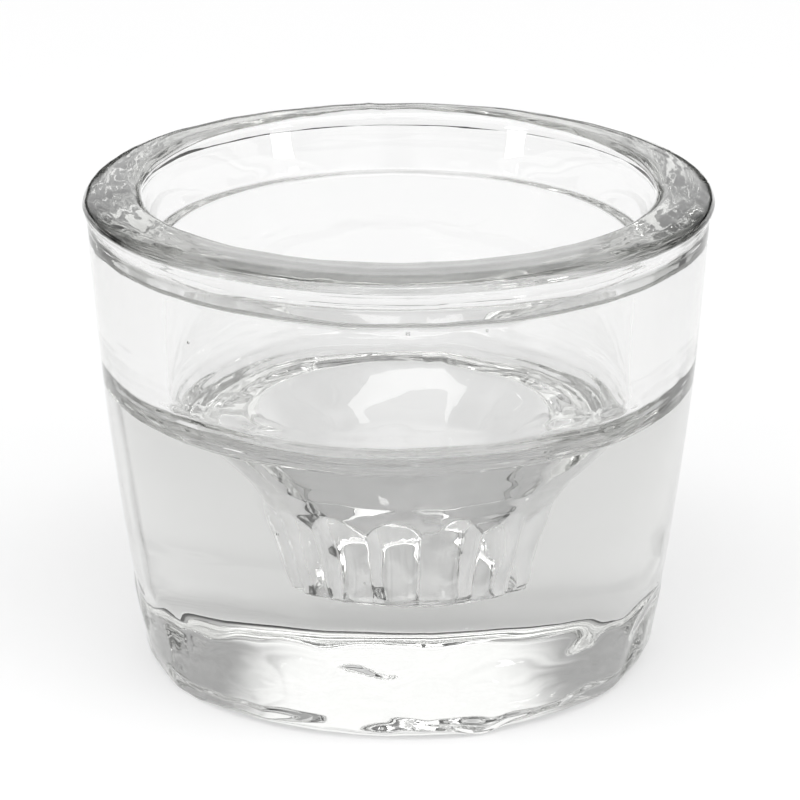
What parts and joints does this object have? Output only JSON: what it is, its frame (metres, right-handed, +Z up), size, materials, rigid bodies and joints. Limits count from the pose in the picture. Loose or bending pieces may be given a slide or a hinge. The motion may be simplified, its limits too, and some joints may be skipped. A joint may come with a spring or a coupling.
{
  "type": "tealight holder",
  "caption": "Round clear pressed-glass candle holder with a wide tealight recess over a flared, fluted socket for a taper candle.",
  "frame": {"origin": "middle of the foot ring, on the surface the holder stands on", "axes": "+Z up along the axis of the holder; +X and +Y are alike, because it is round"},
  "size_m": [0.076, 0.076, 0.0597],
  "materials": {
    "clear_glass": "clear pressed glass, fire-polished, with faint waves, seams and seeds"
  },
  "bodies": {
    "root": {"glass_body": "clear_glass"}
  },
  "joints": []
}
